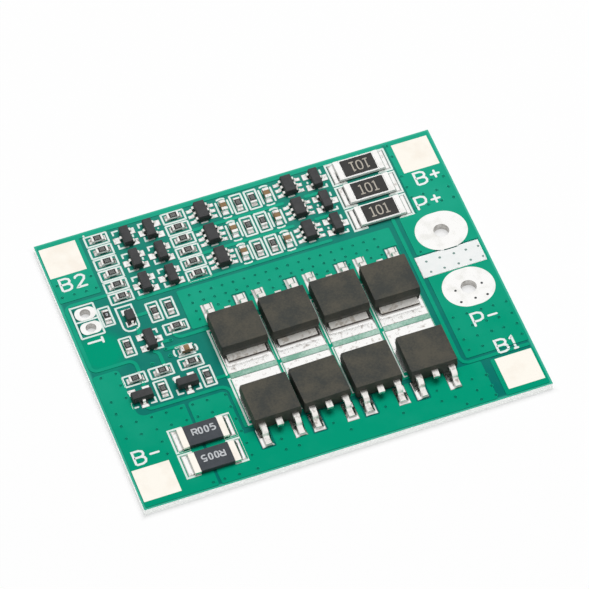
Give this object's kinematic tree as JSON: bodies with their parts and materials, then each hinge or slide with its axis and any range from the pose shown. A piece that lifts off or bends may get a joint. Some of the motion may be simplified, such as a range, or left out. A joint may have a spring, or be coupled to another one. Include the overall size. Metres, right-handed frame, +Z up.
{
  "type": "battery management board",
  "caption": "Flat rectangular circuit board with two rows of power transistors, square corner lands for cells and plated holes for output and sensor wires.",
  "frame": {"origin": "centre of the board's underside, which is the middle of the bounding box's bottom face", "axes": "+X along the board's long side, from the B2 and B- lands to the B+ and B1 lands; +Y across the board towards the B2 and B+ lands; +Z up out of the component side"},
  "size_m": [0.056, 0.045, 0.0035],
  "materials": {
    "laminate": "satin glass-epoxy laminate under green solder mask",
    "masked_copper": "satin green solder mask over copper",
    "tinned_land": "levelled solder, bright and slightly uneven",
    "moulded_epoxy": "fine-grained matt epoxy moulding",
    "tinned_lead": "tin-plated copper, satin",
    "chip_ceramic": "white alumina with a dark glaze on top",
    "capacitor_ceramic": "fired brown ceramic",
    "resistor_coat": "smooth dark epoxy coat",
    "chip_end": "tin plate, satin"
  },
  "bodies": {
    "root": {"board": "laminate", "top_copper": "masked_copper", "bottom_copper": "masked_copper", "component_lands": "tinned_land", "terminal_b_plus": "tinned_land", "terminal_b_minus": "tinned_land", "terminal_b1": "tinned_land", "terminal_b2": "tinned_land", "terminal_p_plus": "tinned_land", "terminal_p_minus": "tinned_land", "thermistor_terminals": "tinned_land", "mosfet_1": "moulded_epoxy", "mosfet_2": "moulded_epoxy", "mosfet_3": "moulded_epoxy", "mosfet_4": "moulded_epoxy", "mosfet_5": "moulded_epoxy", "mosfet_6": "moulded_epoxy", "mosfet_7": "moulded_epoxy", "mosfet_8": "moulded_epoxy", "mosfet_1_leads": "tinned_lead", "mosfet_2_leads": "tinned_lead", "mosfet_3_leads": "tinned_lead", "mosfet_4_leads": "tinned_lead", "mosfet_5_leads": "tinned_lead", "mosfet_6_leads": "tinned_lead", "mosfet_7_leads": "tinned_lead", "mosfet_8_leads": "tinned_lead", "balance_resistor_1": "chip_ceramic", "balance_resistor_2": "chip_ceramic", "balance_resistor_3": "chip_ceramic", "balance_resistor_ends": "chip_end", "shunt_resistor_1": "resistor_coat", "shunt_resistor_2": "resistor_coat", "shunt_resistor_ends": "chip_end", "protection_ic_1": "moulded_epoxy", "protection_ic_2": "moulded_epoxy", "protection_ic_3": "moulded_epoxy", "protection_ic_4": "moulded_epoxy", "protection_ic_5": "moulded_epoxy", "protection_ic_6": "moulded_epoxy", "protection_ic_leads": "tinned_lead", "transistor_1": "moulded_epoxy", "transistor_2": "moulded_epoxy", "transistor_3": "moulded_epoxy", "transistor_4": "moulded_epoxy", "transistor_5": "moulded_epoxy", "transistor_6": "moulded_epoxy", "transistor_7": "moulded_epoxy", "transistor_8": "moulded_epoxy", "transistor_9": "moulded_epoxy", "transistor_10": "moulded_epoxy", "transistor_11": "moulded_epoxy", "transistor_12": "moulded_epoxy", "transistor_leads": "tinned_lead", "diode": "moulded_epoxy", "diode_leads": "tinned_lead", "chip_resistors": "chip_ceramic", "chip_resistor_ends": "chip_end", "chip_capacitors": "capacitor_ceramic", "chip_capacitor_ends": "chip_end"}
  },
  "joints": []
}
